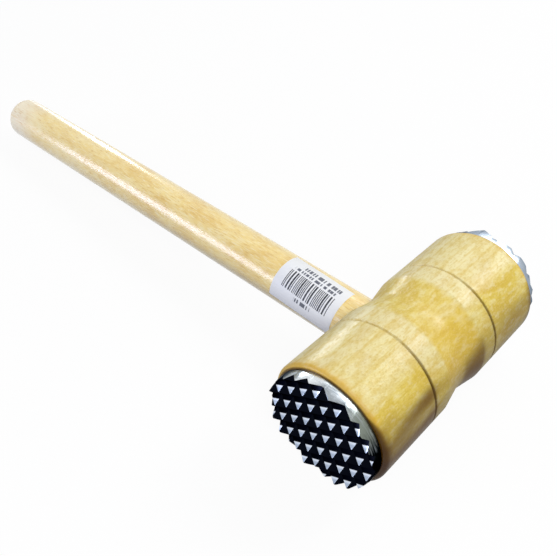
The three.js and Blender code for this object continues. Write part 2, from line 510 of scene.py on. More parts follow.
@dataclass(frozen=True)
class CastAluminium:
    """Aluminium, die cast, with painted shade and a painted highlight on the teeth, and painted reflections
    on the rim.

    The eye sees near-black tooth flanks beside pale blue-white ones, and a silver rim, dark in places. The
    near-black, the blue-white and the rim's dark places are painted shade and painted reflection.
    Real scratches are hair fine, and are drawn about ten times coarser here so that they show.
    """

    name: str
    # The teeth's tone off the highlight, painted near-black as shade and reflection on the fine plate, then
    # the painted highlight's edge and middle.
    teeth_shade: str = "0B0D15"
    glint_edge: str = "DDE5EF"
    glint_middle: str = "A3B0C2"
    rim: str = "AEB5BA"
    scratch: str = "5C646C"
    # Painted reflections on the rim, bright and dark.
    painted_reflections: tuple[RimReflection, ...] = ()
    edge_tint: str = "606468"
    roughness: tuple[float, float] = (0.22, 0.36)
    scratch_mm: tuple[float, float] = (0.7, 6.0)
    scratch_detail: float = 4.0
    scratch_roughness: float = 0.6
    scratched: tuple[float, float] = (0.42, 0.7)
    rim_to_teeth: tuple[float, float] = (0.3, 0.4)
    patch_raggedness: float = 1.6
    # Where the painted highlight lies: how squarely a flank faces its way, and how far up it starts.
    glint_facing: tuple[float, float] = (0.93, 0.97)
    glint_from: float = 0.43
    glint_softness: float = 0.03
    glint_edge_height: float = 0.25

    def build(self, seat: Matrix, glint_flank: tuple[float, float, float], root: float,
              tip: float) -> bpy.types.Material:
        """Makes the material.

        Args:
            seat: Where the plate's own frame lies in the model.
            glint_flank: The outward direction of the flanks that carry the painted highlight, in the plate's
                own frame.
            root: The height of the teeth's roots.
            tip: The height of the teeth's tips.

        Returns:
            The material.
        """
        material, tree = new_material(self.name)
        place = own_frame(tree, Given.POINT, seat)
        normal = own_frame(tree, Given.DIRECTION, seat)
        across, along = (1 / (side * MM) for side in self.scratch_mm)
        stretched = add_node(tree, "ShaderNodeMapping", {"Vector": place, "Scale": (along, across, along)})
        scratches = add_node(tree, "ShaderNodeTexNoise", {
            "Vector": stretched.outputs["Vector"], "Scale": 1.0, "Detail": self.scratch_detail,
            "Roughness": self.scratch_roughness,
        }).outputs["Fac"]
        worn = add_node(tree, "ShaderNodeMapRange", {
            "Value": scratches, "From Min": self.scratched[0], "From Max": self.scratched[1],
        })
        rim = add_node(tree, "ShaderNodeMixRGB", {
            "Fac": worn.outputs["Result"], "Color1": linear(self.rim), "Color2": linear(self.scratch),
        }).outputs["Color"]
        # Painted reflections on the rim, bright and dark.
        for patch in self.painted_reflections:
            rim = self.lay_reflection(tree, place, scratches, rim, patch)
        # Painted shade on the teeth, with a painted highlight on one set of flanks.
        teeth = self.tooth_colour(tree, place, normal, glint_flank, root, tip)
        outward = add_node(tree, "ShaderNodeSeparateXYZ", {"Vector": normal}).outputs["Y"]
        on_teeth = add_node(tree, "ShaderNodeMapRange", {
            "Value": outward, "From Min": self.rim_to_teeth[0], "From Max": self.rim_to_teeth[1],
        })
        colour = add_node(tree, "ShaderNodeMixRGB", {
            "Fac": on_teeth.outputs["Result"], "Color1": rim, "Color2": teeth,
        })
        rough = add_node(tree, "ShaderNodeMapRange", {
            "Value": scratches, "From Min": NOISE_SPAN[0], "From Max": NOISE_SPAN[1],
            "To Min": self.roughness[0], "To Max": self.roughness[1],
        })
        shader = add_node(tree, "ShaderNodeBsdfPrincipled", {
            "Base Color": colour.outputs["Color"], "Metallic": 1.0, "Roughness": rough.outputs["Result"],
            "Specular Tint": linear(self.edge_tint),
        })
        add_node(tree, "ShaderNodeOutputMaterial", {"Surface": shader.outputs["BSDF"]})
        return material

    def lay_reflection(self, tree: bpy.types.NodeTree, place: bpy.types.NodeSocket,
                  scratches: bpy.types.NodeSocket, under: bpy.types.NodeSocket,
                  patch: RimReflection) -> bpy.types.NodeSocket:
        """Lays one ragged painted reflection over the rim's colour.

        Args:
            tree: The material's node tree.
            place: The point in the plate's own frame.
            scratches: Noise that makes the patch ragged.
            under: The colour below the patch.
            patch: The patch.

        Returns:
            The colour with the patch on it.
        """
        middle = math.radians(patch.middle_degrees)
        wide = math.radians(patch.half_width_degrees + patch.soft_degrees)
        narrow = math.radians(max(patch.half_width_degrees - patch.soft_degrees, 0.0))
        radial = add_node(tree, "ShaderNodeVectorMath", {0: place, 1: (1.0, 0.0, 1.0)}, operation="MULTIPLY")
        unit = add_node(tree, "ShaderNodeVectorMath", {0: radial.outputs["Vector"]}, operation="NORMALIZE")
        towards = add_node(tree, "ShaderNodeVectorMath", {
            0: unit.outputs["Vector"], 1: (math.cos(middle), 0.0, math.sin(middle)),
        }, operation="DOT_PRODUCT")
        spread = (math.cos(narrow) - math.cos(wide)) * self.patch_raggedness
        ragged = add_node(tree, "ShaderNodeMath", {
            0: scratches, 1: spread, 2: towards.outputs["Value"],
        }, operation="MULTIPLY_ADD")
        share = add_node(tree, "ShaderNodeMapRange", {
            "Value": ragged.outputs["Value"], "From Min": math.cos(wide) + spread / 2,
            "From Max": math.cos(narrow) + spread / 2,
        })
        return add_node(tree, "ShaderNodeMixRGB", {
            "Fac": share.outputs["Result"], "Color1": under, "Color2": linear(patch.colour),
        }).outputs["Color"]

    def tooth_colour(self, tree: bpy.types.NodeTree, place: bpy.types.NodeSocket,
                     normal: bpy.types.NodeSocket, glint_flank: tuple[float, float, float], root: float,
                     tip: float) -> bpy.types.NodeSocket:
        """Colours the teeth: painted shade everywhere but on the upper part of one set of flanks, which has a
        painted highlight.

        Args:
            tree: The material's node tree.
            place: The point in the plate's own frame.
            normal: The surface's direction in the plate's own frame.
            glint_flank: The outward direction of the flanks that carry the painted highlight.
            root: The height of the teeth's roots.
            tip: The height of the teeth's tips.

        Returns:
            The colour.
        """
        height = add_node(tree, "ShaderNodeSeparateXYZ", {"Vector": place}).outputs["Y"]
        share_up = add_node(tree, "ShaderNodeMapRange", {
            "Value": height, "From Min": root * MM, "From Max": tip * MM,
        }).outputs["Result"]
        towards = add_node(tree, "ShaderNodeVectorMath", {0: normal, 1: glint_flank}, operation="DOT_PRODUCT")
        on_flank = add_node(tree, "ShaderNodeMapRange", {
            "Value": towards.outputs["Value"], "From Min": self.glint_facing[0],
            "From Max": self.glint_facing[1],
        })
        above = add_node(tree, "ShaderNodeMapRange", {
            "Value": share_up, "From Min": self.glint_from - self.glint_softness,
            "From Max": self.glint_from + self.glint_softness,
        })
        glinting = add_node(tree, "ShaderNodeMath", {
            0: on_flank.outputs["Result"], 1: above.outputs["Result"],
        }, operation="MULTIPLY")
        inside = add_node(tree, "ShaderNodeMapRange", {
            "Value": share_up, "From Min": self.glint_from,
            "From Max": self.glint_from + self.glint_edge_height,
        })
        bright = add_node(tree, "ShaderNodeMixRGB", {
            "Fac": inside.outputs["Result"], "Color1": linear(self.glint_edge),
            "Color2": linear(self.glint_middle),
        })
        return add_node(tree, "ShaderNodeMixRGB", {
            "Fac": glinting.outputs["Value"], "Color1": linear(self.teeth_shade), "Color2": bright.outputs["Color"],
        }).outputs["Color"]


@dataclass(frozen=True)
class DrawnSteel:
    """Steel rod with its barbs pressed in: dull grey, out of sight inside the wood."""

    name: str = "drawn_steel"
    colour: str = "8A8D90"
    marks_per_mm: float = 0.9
    mark_detail: float = 3.0
    roughness: tuple[float, float] = (0.4, 0.6)

    def build(self) -> bpy.types.Material:
        """Makes the material.

        Returns:
            The material.
        """
        material, tree = new_material(self.name)
        marks = add_node(tree, "ShaderNodeTexNoise", {
            "Vector": add_node(tree, "ShaderNodeTexCoord").outputs["Object"], "Scale": self.marks_per_mm / MM,
            "Detail": self.mark_detail,
        })
        rough = add_node(tree, "ShaderNodeMapRange", {
            "Value": marks.outputs["Fac"], "To Min": self.roughness[0], "To Max": self.roughness[1],
        })
        shader = add_node(tree, "ShaderNodeBsdfPrincipled", {
            "Base Color": linear(self.colour), "Metallic": 1.0, "Roughness": rough.outputs["Result"],
        })
        add_node(tree, "ShaderNodeOutputMaterial", {"Surface": shader.outputs["BSDF"]})
        return material


@dataclass(frozen=True)
class PrintArea:
    """A stretch of the flat label that holds print, measured up and along from the label's middle."""

    low: float
    high: float
    start: float
    end: float


@dataclass(frozen=True)
class PrintedPaper:
    """Coated white paper, printed by heat.

    The eye sees a nearly matt white sheet with crisp black bars, and rows of plain dashes beside them. The
    bars are a made-up rhythm that stands for nothing.
    """

    name: str = "printed_paper"
    sheet: str = "ECEEF0"
    ink: str = "23262E"
    faded: str = "60646E"
    bars: PrintArea = PrintArea(-4.4, 4.6, -12.6, 13.4)
    bar_step: float = 0.42
    first_share: float = 0.5
    same_within: float = 0.1
    dashes: tuple[PrintArea, ...] = (
        PrintArea(5.4, 6.8, -12.0, 12.4), PrintArea(7.6, 9.6, -9.0, 14.0), PrintArea(-7.4, -5.5, -4.0, 5.5),
    )
    dashes_per_mm: float = 0.75
    dash_from: float = 0.47
    roughness: float = 0.5
    fibres_per_mm: float = 3.0
    fibre_detail: float = 4.0
    fibre_relief_mm: float = 0.02
    fibre_strength: float = 0.3

    def inside(self, tree: bpy.types.NodeTree, mask: bpy.types.NodeSocket, along: bpy.types.NodeSocket,
               up: bpy.types.NodeSocket, area: PrintArea) -> bpy.types.NodeSocket:
        """Clears a mask outside an area of the label.

        Args:
            tree: The material's node tree.
            mask: The mask.
            along: The place along the label.
            up: The place up the label.
            area: The area.

        Returns:
            The mask, with zero outside the area.
        """
        for value, low, high in ((along, area.start, area.end), (up, area.low, area.high)):
            between = add_node(tree, "ShaderNodeMath", {
                0: value, 1: (low + high) / 2, 2: (high - low) / 2,
            }, operation="COMPARE")
            mask = add_node(tree, "ShaderNodeMath", {
                0: mask, 1: between.outputs["Value"],
            }, operation="MULTIPLY").outputs["Value"]
        return mask

    def rhythm(self, tree: bpy.types.NodeTree, along: bpy.types.NodeSocket) -> bpy.types.NodeSocket:
        """Adds the rhythm of the bars: chance blackens one step of each pair, the first or the second.

        Args:
            tree: The material's node tree.
            along: The place along the label.

        Returns:
            The mask of the black steps.
        """
        step = add_node(tree, "ShaderNodeMath", {0: along, 1: self.bar_step}, operation="DIVIDE")
        number = add_node(tree, "ShaderNodeMath", {0: step.outputs["Value"]}, operation="FLOOR")
        half = add_node(tree, "ShaderNodeMath", {0: number.outputs["Value"], 1: 2.0}, operation="DIVIDE")
        pair = add_node(tree, "ShaderNodeMath", {0: half.outputs["Value"]}, operation="FLOOR")
        chance = add_node(tree, "ShaderNodeTexWhiteNoise", {
            "W": pair.outputs["Value"],
        }, noise_dimensions="1D")
        chosen = add_node(tree, "ShaderNodeMath", {
            0: chance.outputs["Value"], 1: self.first_share,
        }, operation="GREATER_THAN")
        second = add_node(tree, "ShaderNodeMath", {
            0: pair.outputs["Value"], 1: -2.0, 2: number.outputs["Value"],
        }, operation="MULTIPLY_ADD")
        return add_node(tree, "ShaderNodeMath", {
            0: second.outputs["Value"], 1: chosen.outputs["Value"], 2: self.same_within,
        }, operation="COMPARE").outputs["Value"]

    def build(self) -> bpy.types.Material:
        """Makes the material. The UV map holds the place on the flat label in millimetres.

        Returns:
            The material.
        """
        material, tree = new_material(self.name)
        flat = add_node(tree, "ShaderNodeUVMap", uv_map="flat_mm")
        parts = add_node(tree, "ShaderNodeSeparateXYZ", {"Vector": flat.outputs["UV"]})
        along, up = parts.outputs["X"], parts.outputs["Y"]
        colour = add_node(tree, "ShaderNodeMixRGB", {
            "Fac": self.inside(tree, self.rhythm(tree, along), along, up, self.bars),
            "Color1": linear(self.sheet), "Color2": linear(self.ink),
        }).outputs["Color"]
        flow = add_node(tree, "ShaderNodeTexNoise", {
            "W": along, "Scale": self.dashes_per_mm, "Detail": 0.0,
        }, noise_dimensions="1D")
        dash = add_node(tree, "ShaderNodeMath", {
            0: flow.outputs["Fac"], 1: self.dash_from,
        }, operation="GREATER_THAN").outputs["Value"]
        for area in self.dashes:
            colour = add_node(tree, "ShaderNodeMixRGB", {
                "Fac": self.inside(tree, dash, along, up, area), "Color1": colour,
                "Color2": linear(self.faded),
            }).outputs["Color"]
        fibres = add_node(tree, "ShaderNodeTexNoise", {
            "Vector": flat.outputs["UV"], "Scale": self.fibres_per_mm, "Detail": self.fibre_detail,
        })
        relief = add_node(tree, "ShaderNodeBump", {
            "Height": fibres.outputs["Fac"], "Strength": self.fibre_strength,
            "Distance": self.fibre_relief_mm * MM,
        })
        shader = add_node(tree, "ShaderNodeBsdfPrincipled", {
            "Base Color": colour, "Roughness": self.roughness, "Normal": relief.outputs["Normal"],
        })
        add_node(tree, "ShaderNodeOutputMaterial", {"Surface": shader.outputs["BSDF"]})
        return material


def mount(name: str) -> tuple[Vector, Vector]:
    """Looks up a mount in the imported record.

    Args:
        name: The mount's name.

    Returns:
        Its place in metres, and its axis.
    """
    row = next(row for row in frame["record"]["mounts"] if row["name"] == name)
    return Vector(row["pos_m"]), Vector(row["axis"])


def head_seat() -> Matrix:
    """Finds the head's own frame: on its middle, Y along its axis, and X away from the handle's butt.

    Returns:
        The frame's place in the model.
    """
    low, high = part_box("head")
    _, butt_axis = mount("butt_face")
    slope = math.atan2(-butt_axis.z, -butt_axis.x)
    return Matrix.Translation((low + high) / 2) @ Matrix.Rotation(-slope, 4, "Y")


@dataclass
class Head:
    """The turned head: a cylinder with a waist for the handle and a scribed groove on each side of it."""

    edge_radius: float = 2.0
    waist_half_width: float = 12.7
    waist_taper_degrees: float = 10.9
    waist_valley_radius: float = 16.0
    shoulder_radius: float = 0.5
    groove_from_middle: float = 22.0
    groove_width: float = 1.1
    groove_depth: float = 1.1
    groove_lip: float = 0.15
    groove_bottom: float = 0.15
    burnt_margin: float = 0.5
    # The waves in the grooves' lips: how many to a millimetre, and how far they reach.
    lip_waves: tuple[tuple[float, float], ...] = ((0.9, 0.12), (2.6, 0.08))
    far_groove_chipping: float = 2.2
    ring_spacing: float = 2.5
    arc_steps: int = 6
    stud_radius: float = 2.5
    stud_reach: float = 21.0
    glue_line: float = 0.105
    bore_gap: float = 0.3
    segments: int = 360
    crease_degrees: float = 35.0
    merged_within: float = 0.0005
    overrun: float = 1.0

    def build(self, finish: VarnishedHardwood, handle: "Handle", plate: "ToothPlate") -> bpy.types.Object:
        """Makes the head and dresses it.

        Args:
            finish: The wood's finish.
            handle: The handle that its socket fits.
            plate: A tooth plate, whose boss the bores fit. Both plates have the same one.

        Returns:
            The head.
        """
        seat = head_seat()
        low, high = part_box("head")
        radius = (high.z - low.z) / 2 / MM
        half = (high.y - low.y) / 2 / MM
        piece = revolve("turned_head", self.outline(radius, half), self.segments, seat)
        self.roughen_grooves(piece, radius)
        cut(piece, self.socket(radius, seat, handle))
        for turn in (0.0, math.pi):
            cut(piece, self.bore(half, seat @ Matrix.Rotation(turn, 4, "X"), plate))
        weld(piece, self.merged_within)
        smooth(piece, self.crease_degrees)
        tints = HeadTints(self, radius, half)
        # Painted light and painted shade, and soak and burn that also take painted shade on the low side.
        paint(piece, VertexTint.PAINTED_LIGHT, tints.painted_light)
        paint(piece, VertexTint.PAINTED_SHADE, tints.painted_shade)
        paint(piece, VertexTint.SOAK_AND_SHADE, tints.soak_and_shade)
        paint(piece, VertexTint.BURN_AND_SHADE, tints.burn_and_shade)
        piece.data.materials.append(finish.build(seat))
        return piece

    def outline(self, radius: float, half: float) -> list[Vector]:
        """Draws the head's profile, from the centre of one end to the centre of the other.

        Args:
            radius: The head's radius.
            half: Half its length.

        Returns:
            The profile's points, as (radius, place on the axis).
        """
        waist = radius - self.waist_half_width * math.tan(math.radians(self.waist_taper_degrees))
        lip = self.groove_width / 2
        burnt = lip + self.burnt_margin
        side = [
            (radius, self.waist_half_width, self.shoulder_radius),
            (radius, self.groove_from_middle - burnt, 0),
            (radius, self.groove_from_middle - lip, self.groove_lip),
            (radius - self.groove_depth, self.groove_from_middle, self.groove_bottom),
            (radius, self.groove_from_middle + lip, self.groove_lip),
            (radius, self.groove_from_middle + burnt, 0),
            (radius, half, self.edge_radius),
            (0, half, 0),
        ]
        mirrored = [(x, -y, r) for x, y, r in reversed(side)]
        corners = [*mirrored, (waist, 0, self.waist_valley_radius), *side]
        return split(eased(corners, self.arc_steps), self.ring_spacing)

    def roughen_grooves(self, piece: bpy.types.Object, radius: float) -> None:
        """Lets the grooves' lips wander a little, as a scribing tool leaves them.

        Args:
            piece: The head.
            radius: Its radius.
        """
        for vertex in piece.data.vertices:
            point = vertex.co / MM
            beside = abs(abs(point.y) - self.groove_from_middle)
            if beside < self.groove_width and math.hypot(point.x, point.z) > radius - self.groove_depth / 2:
                wander = sum(noise.noise(point * per_mm) * reach for per_mm, reach in self.lip_waves)
                vertex.co.y += wander * (self.far_groove_chipping if point.y > 0 else 1.0) * MM

    def socket(self, radius: float, seat: Matrix, handle: "Handle") -> bpy.types.Object:
        """Makes the cutter for the handle's socket, which comes in through the waist.

        Args:
            radius: The head's radius.
            seat: Where the head's own frame lies in the model.
            handle: The handle.

        Returns:
            The cutter.
        """
        bore = handle.radius + self.glue_line
        bottom = -handle.tenon_past_axis - self.bore_gap
        mouth = radius + self.overrun
        outline = [Vector(p) for p in ((0, bottom), (bore, bottom), (bore, mouth), (0, mouth))]
        off_middle = handle.seat().translation.y - seat.translation.y
        turned = Matrix.Translation((0, off_middle, 0)) @ Matrix.Rotation(math.pi / 2, 4, "Z")
        return revolve("socket_cutter", outline, self.segments // 2, seat @ turned)

    def bore(self, half: float, turned: Matrix, plate: "ToothPlate") -> bpy.types.Object:
        """Makes the cutter for a boss and its stud, in one end of the head.

        Args:
            half: Half the head's length.
            turned: Where the head's own frame lies in the model, turned so that Y points to that end.
            plate: The tooth plate with the boss.

        Returns:
            The cutter.
        """
        mouth, floor = half + self.overrun, half - plate.boss_height - self.bore_gap
        bottom = floor - self.stud_reach
        boss, stud = plate.boss_radius + self.bore_gap, self.stud_radius + self.bore_gap
        outline = [Vector(p) for p in (
            (0, bottom), (stud, bottom), (stud, floor), (boss, floor), (boss, mouth), (0, mouth),
        )]
        return revolve("bore_cutter", outline, self.segments // 4, turned)


@dataclass(frozen=True)
class HeadTints:
    """Where the head's wood is painted lighter or darker as light and shade, soaked with varnish, and burnt.

    Points are in the head's own frame. What turns down and away from the butt is called its low side, and is
    painted darker as shade: a place there is a share of the radius, and any other place is in millimetres. A
    pair of values runs from where a tint starts to where it is full, or to where it ends.
    """

    head: Head
    radius: float
    half: float
    # The low side.
    low_side_tilt: float = 0.35
    wander_per_mm: float = 0.12
    wander_drawn_out: float = 0.3
    wander_share: float = 0.3
    past_waist_edge: tuple[float, float] = (-0.7, -0.1)
    # Painted light: paler on the high side, and a painted highlight in the bands between the waist and the
    # grooves.
    light_share: float = 0.45
    light_left_in_waist: float = 0.2
    light_ends: tuple[float, float] = (0.0, 0.45)
    band_share: float = 0.55
    band_edge: float = 0.6
    band_ends: tuple[float, float] = (0.25, 0.85)
    # Painted shade: browner on the low side, least between the places where it is full.
    shade_share: float = 0.96
    shade_least: float = 0.45
    shade_starts: tuple[float, float] = (0.58, 0.97)
    shade_near_end: tuple[float, float] = (-18.0, -24.0)
    shade_taper: float = 8.0
    shade_taper_ends: tuple[float, float] = (8.0, 4.0)
    # Painted shade in the waist, towards the low side, and varnish soaked into the end grain, whose edge has
    # waves to a millimetre, with a reach.
    waist_shade: float = 0.26
    waist_shade_starts: tuple[float, float] = (-0.5, 0.3)
    end_soak: float = 0.8
    end_soak_depth: tuple[float, float] = (2.6, 0.8)
    end_soak_waves: tuple[float, float] = (0.35, 0.6)
    # Burnt wood in the grooves and on their lips, and a dark line round the ends at the joint, both growing
    # towards the low side as painted shade; round the ends it widens by the second value.
    groove_tilt: float = 0.4
    groove_shade_low_side: tuple[float, float] = (-0.4, 0.8)
    groove_least: float = 0.12
    groove_depth: tuple[float, float] = (0.05, 0.4)
    groove_lip_burn: float = 0.6
    groove_lip: tuple[float, float] = (0.95, 0.5)
    end_line_and_shade: float = 0.9
    end_line_and_shade_width: tuple[float, float] = (0.16, 5.6)
    end_shade_low_side: tuple[float, float] = (0.3, 1.0)
    end_line_full: float = 0.04

    def low_side(self, point: Vector, tilt: float) -> float:
        """Gives about 1 at the low side and -1 at the other; the tilt weighs down against out."""
        return (point.x - tilt * point.z) / self.radius

    def wandering(self, point: Vector) -> float:
        """Tells how far a point lies to the low side, with a wander that makes the stains' edges uneven.

        Args:
            point: The point.

        Returns:
            About 1 at the low side and -1 at the other.
        """
        drawn_out = Vector((point.x, point.y * self.wander_drawn_out, point.z))
        wander = noise.noise(drawn_out * self.wander_per_mm) * self.wander_share
        return self.low_side(point, self.low_side_tilt) + wander

    def past_waist(self, point: Vector) -> float:
        """Tells the waist from the rest.

        Args:
            point: The point.

        Returns:
            0 in the waist and 1 beyond its shoulders.
        """
        start, full = self.past_waist_edge
        waist = self.head.waist_half_width
        return ease_step(waist + start, waist + full, abs(point.y))

    def painted_light(self, point: Vector) -> float:
        """Gives the share of painted light: on the high side, and as a highlight in the bands between waist
        and grooves.

        Args:
            point: The point.

        Returns:
            The share.
        """
        past, groove = self.past_waist(point), self.head.groove_from_middle
        low_side = self.wandering(point)
        by_waist = self.light_left_in_waist + (1 - self.light_left_in_waist) * past
        upper = self.light_share * (1 - ease_step(*self.light_ends, low_side)) * by_waist
        on_band = past * ease_step(groove, groove - self.band_edge, abs(point.y))
        return max(upper, self.band_share * on_band * (1 - ease_step(*self.band_ends, low_side)))

    def painted_shade(self, point: Vector) -> float:
        """Gives the share of painted shade: browner on the low side, most at the near end and the far taper.

        Args:
            point: The point.

        Returns:
            The share.
        """
        from_taper = abs(point.y - self.shade_taper)
        most = max(ease_step(*self.shade_near_end, point.y), ease_step(*self.shade_taper_ends, from_taper))
        along = self.shade_least + (1 - self.shade_least) * most
        return self.shade_share * ease_step(*self.shade_starts, self.wandering(point)) * along

    def soak_and_shade(self, point: Vector) -> float:
        """Gives the share of golden wood: painted shade in the waist, and varnish soaked into the end grain.

        Args:
            point: The point.

        Returns:
            The share.
        """
        starts = ease_step(*self.waist_shade_starts, self.wandering(point))
        in_waist = self.waist_shade * (1 - self.past_waist(point)) * starts
        waves_per_mm, reach = self.end_soak_waves
        start, full = (self.half - depth for depth in self.end_soak_depth)
        wavy = abs(point.y) + noise.noise(point * waves_per_mm) * reach
        return max(in_waist, self.end_soak * ease_step(start, full, wavy))

    def burn_and_shade(self, point: Vector) -> float:
        """Gives the share of groove burn and of the dark line at the ends, both with painted shade on the low
        side.

        Args:
            point: The point.

        Returns:
            The share.
        """
        beside = abs(abs(point.y) - self.head.groove_from_middle)
        if beside < self.head.groove_width:
            depth = self.radius - math.hypot(point.x, point.z)
            low_side = ease_step(*self.groove_shade_low_side, self.low_side(point, self.groove_tilt))
            lip = self.groove_lip_burn * ease_step(*self.groove_lip, beside)
            burnt = max(ease_step(*self.groove_depth, depth), lip)
            return burnt * (self.groove_least + (1 - self.groove_least) * low_side)
        least, more = self.end_line_and_shade_width
        low_side = self.low_side(point, self.low_side_tilt)
        wide = least + more * ease_step(*self.end_shade_low_side, low_side)
        return self.end_line_and_shade * ease_step(self.half - wide, self.half - self.end_line_full, abs(point.y))


@dataclass
class Handle:
    """The straight round handle, with its butt rounded and its other end in the head's socket.

    It is turned about Y, with its butt at zero, and a pair of values runs as in the head's stains.
    """

    radius: float = 11.775
    butt_edge_radius: float = 4.5
    tenon_past_axis: float = 14.0
    tenon_chamfer: float = 1.5
    ring_spacing: float = 6.0
    arc_steps: int = 12
    segments: int = 180
    crease_degrees: float = 30.0
    # Painted light at the butt, as a highlight.
    light_share: float = 0.85
    light_from_butt: tuple[float, float] = (36.0, 6.0)
    # Painted shade underneath, growing towards the head.
    shade_share: float = 0.5
    shade_tilt: float = 1.2
    shade_under: tuple[float, float] = (0.75, 1.4)
    shade_from_butt: tuple[float, float] = (40.0, 280.0)

    def seat(self) -> Matrix:
        """Finds the handle's own frame: on the butt's middle, with X towards the head.

        Returns:
            The frame's place in the model.
        """
        place, axis = mount("butt_face")
        slope = math.atan2(-axis.z, -axis.x)
        return Matrix.Translation(place) @ Matrix.Rotation(-slope, 4, "Y")

    def reach(self) -> float:
        """Measures the length from the butt to the head's axis.

        Returns:
            The length.
        """
        low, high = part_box("head")
        place, _ = mount("butt_face")
        middle = (low + high) / 2
        return math.hypot(middle.x - place.x, middle.z - place.z) / MM

    def build(self, finish: VarnishedHardwood) -> bpy.types.Object:
        """Makes the handle and dresses it.

        Args:
            finish: The wood's finish.

        Returns:
            The handle.
        """
        end = self.reach() + self.tenon_past_axis
        outline = eased([
            (0, 0, 0), (self.radius, 0, self.butt_edge_radius), (self.radius, end - self.tenon_chamfer, 0),
            (self.radius - self.tenon_chamfer, end, 0), (0, end, 0),
        ], self.arc_steps)
        turned = self.seat() @ Matrix.Rotation(-math.pi / 2, 4, "Z")
        piece = revolve("round_handle", split(outline, self.ring_spacing), self.segments, turned)
        smooth(piece, self.crease_degrees)
        # Painted light at the butt, and painted shade underneath.
        paint(piece, VertexTint.PAINTED_LIGHT, self.painted_light)
        paint(piece, VertexTint.PAINTED_SHADE, self.painted_shade)
        piece.data.materials.append(finish.build(turned))
        return piece

    def painted_light(self, point: Vector) -> float:
        """The share of painted light at a point of the turned bar, as a highlight: most of it at the butt."""
        return self.light_share * ease_step(*self.light_from_butt, point.y)

    def painted_shade(self, point: Vector) -> float:
        """The share of painted shade at a point of the turned bar: browner underneath, and more towards the
        head.
        """
        under = ease_step(*self.shade_under, (point.x - self.shade_tilt * point.z) / self.radius)
        return self.shade_share * under * ease_step(*self.shade_from_butt, point.y)


